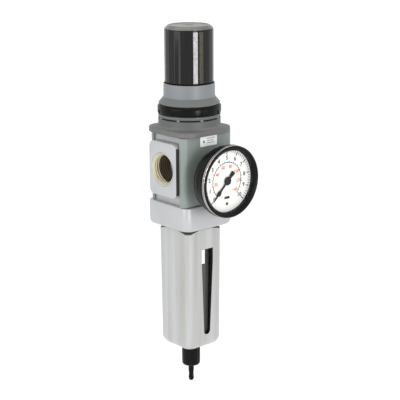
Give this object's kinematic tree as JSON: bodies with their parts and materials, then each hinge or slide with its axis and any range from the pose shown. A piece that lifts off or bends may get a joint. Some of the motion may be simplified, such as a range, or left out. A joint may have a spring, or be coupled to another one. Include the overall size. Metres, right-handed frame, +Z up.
{
  "type": "compressed-air filter regulator",
  "caption": "Slim filter regulator for compressed air with an adjusting knob, a front pressure gauge, two pipe ports and a square metal bowl guard with a sight slot and a drain.",
  "frame": {"origin": "centre of the drain spigot's lower end", "axes": "+Z up the main axis through bowl, body and knob; the gauge faces -Y; the inlet port faces -X and the outlet port faces +X"},
  "size_m": [0.0492, 0.0658, 0.2542],
  "materials": {
    "die_cast": "satin die-cast zinc, sprayed silver grey",
    "brass_thread": "machined",
    "cover_grey": "satin moulded",
    "label": null,
    "bonnet_grey": "satin moulded",
    "sleeve_grey": "satin moulded",
    "black_plastic": "gloss moulded",
    "black_nut": "satin moulded",
    "cap_grey": "satin moulded",
    "steel": "zinc plated",
    "spring_steel": "drawn wire",
    "brass": "machined",
    "rubber": "matt moulded",
    "diaphragm_rubber": "fabric-reinforced",
    "gauge_black": "gloss black enamel",
    "dial_white": "printed scale",
    "pointer_black": "matt black",
    "lens": "clear",
    "guard_metal": "satin silver-grey paint",
    "smoked": "smoked polycarbonate",
    "acetal": "moulded",
    "sinter": "porous sintered"
  },
  "bodies": {
    "root": {"body_casting": "die_cast", "inlet_thread_insert": "brass_thread", "outlet_thread_insert": "brass_thread", "front_cover": "cover_grey", "rear_cover": "cover_grey", "label_plate": "label", "bonnet": "bonnet_grey", "neck_spacer": "sleeve_grey", "shroud": "sleeve_grey", "bonnet_screws": "steel", "diaphragm": "diaphragm_rubber", "valve_seat": "brass", "valve_guide": "acetal", "valve_spring": "spring_steel", "regulating_spring": "spring_steel", "gauge_stem": "brass", "gauge_case": "gauge_black", "gauge_bezel": "gauge_black", "gauge_lens": "lens", "gauge_dial": "dial_white", "movement_frame": "brass", "bourdon_tube": "brass", "gauge_port_plug": "steel", "plug_seal": "rubber", "bowl_collar": "die_cast", "swirl_vane": "acetal", "filter_element": "sinter", "filter_gaskets": "rubber", "element_baffle": "acetal"},
    "spindle": {"adjusting_screw": "steel"},
    "knob": {"adjusting_knob": "black_plastic", "knob_cap": "cap_grey"},
    "nut_carriage": {"spring_nut": "brass", "spring_washer": "steel"},
    "diaphragm_plates": {"diaphragm_hub": "steel", "spring_seat": "steel"},
    "valve": {"valve_poppet": "brass", "valve_disc": "rubber"},
    "panel_ring": {"panel_nut": "black_nut"},
    "bowl": {"bowl_guard": "guard_metal", "sight_bowl": "smoked", "bowl_seal": "rubber", "drain_bush": "black_nut"},
    "drain": {"drain_knob": "black_nut", "drain_spigot": "black_nut", "drain_seal": "rubber"},
    "gauge_sector": {"sector_gear": "brass"},
    "gauge_hand": {"gauge_pointer": "pointer_black", "pointer_pinion": "brass"}
  },
  "joints": [
    {"name": "spindle_turn", "type": "hinge", "parent": "root", "child": "spindle", "pos_m": [0, 0, 0.232], "axis": [0, 0, 1], "range_deg": [-1450, 370]},
    {"name": "knob_lock", "type": "slide", "parent": "spindle", "child": "knob", "axis": [0, 0, 1], "range_m": [-0.0016, 0]},
    {"name": "spring_nut_travel", "type": "slide", "parent": "root", "child": "nut_carriage", "axis": [0, 0, 1], "range_m": [-0.006, 0.0015], "deforming": ["regulating_spring"]},
    {"name": "diaphragm_travel", "type": "slide", "parent": "root", "child": "diaphragm_plates", "axis": [0, 0, 1], "range_m": [-0.0012, 0], "stiffness_N_per_m": 500, "springref_m": 0.0004, "deforming": ["diaphragm", "regulating_spring"]},
    {"name": "valve_travel", "type": "slide", "parent": "root", "child": "valve", "axis": [0, 0, 1], "range_m": [-0.0012, 0], "deforming": ["valve_spring"]},
    {"name": "panel_nut_turn", "type": "hinge", "parent": "root", "child": "panel_ring", "pos_m": [0, 0, 0.1983], "axis": [0, 0, 1], "range_deg": [0, 120]},
    {"name": "bowl_turn", "type": "hinge", "parent": "root", "child": "bowl", "pos_m": [0, 0, 0.123], "axis": [0, 0, 1], "range_deg": [0, 45]},
    {"name": "drain_turn", "type": "hinge", "parent": "bowl", "child": "drain", "pos_m": [0, 0, 0.02], "axis": [0, 0, 1], "range_deg": [-90, 0]},
    {"name": "sector_swing", "type": "hinge", "parent": "root", "child": "gauge_sector", "pos_m": [0, -0.0335, 0.145], "axis": [0, -1, 0], "range_deg": [0, 54]},
    {"name": "pointer_turn", "type": "hinge", "parent": "root", "child": "gauge_hand", "pos_m": [0, -0.0386, 0.154], "axis": [0, 1, 0], "range_deg": [-1, 271]}
  ],
  "couplings": [
    {"joint": "spindle_turn", "follows": "spring_nut_travel", "rad_per_m": 4188.8},
    {"joint": "valve_travel", "follows": "diaphragm_travel", "ratio": 1},
    {"joint": "pointer_turn", "follows": "sector_swing", "ratio": 5}
  ]
}
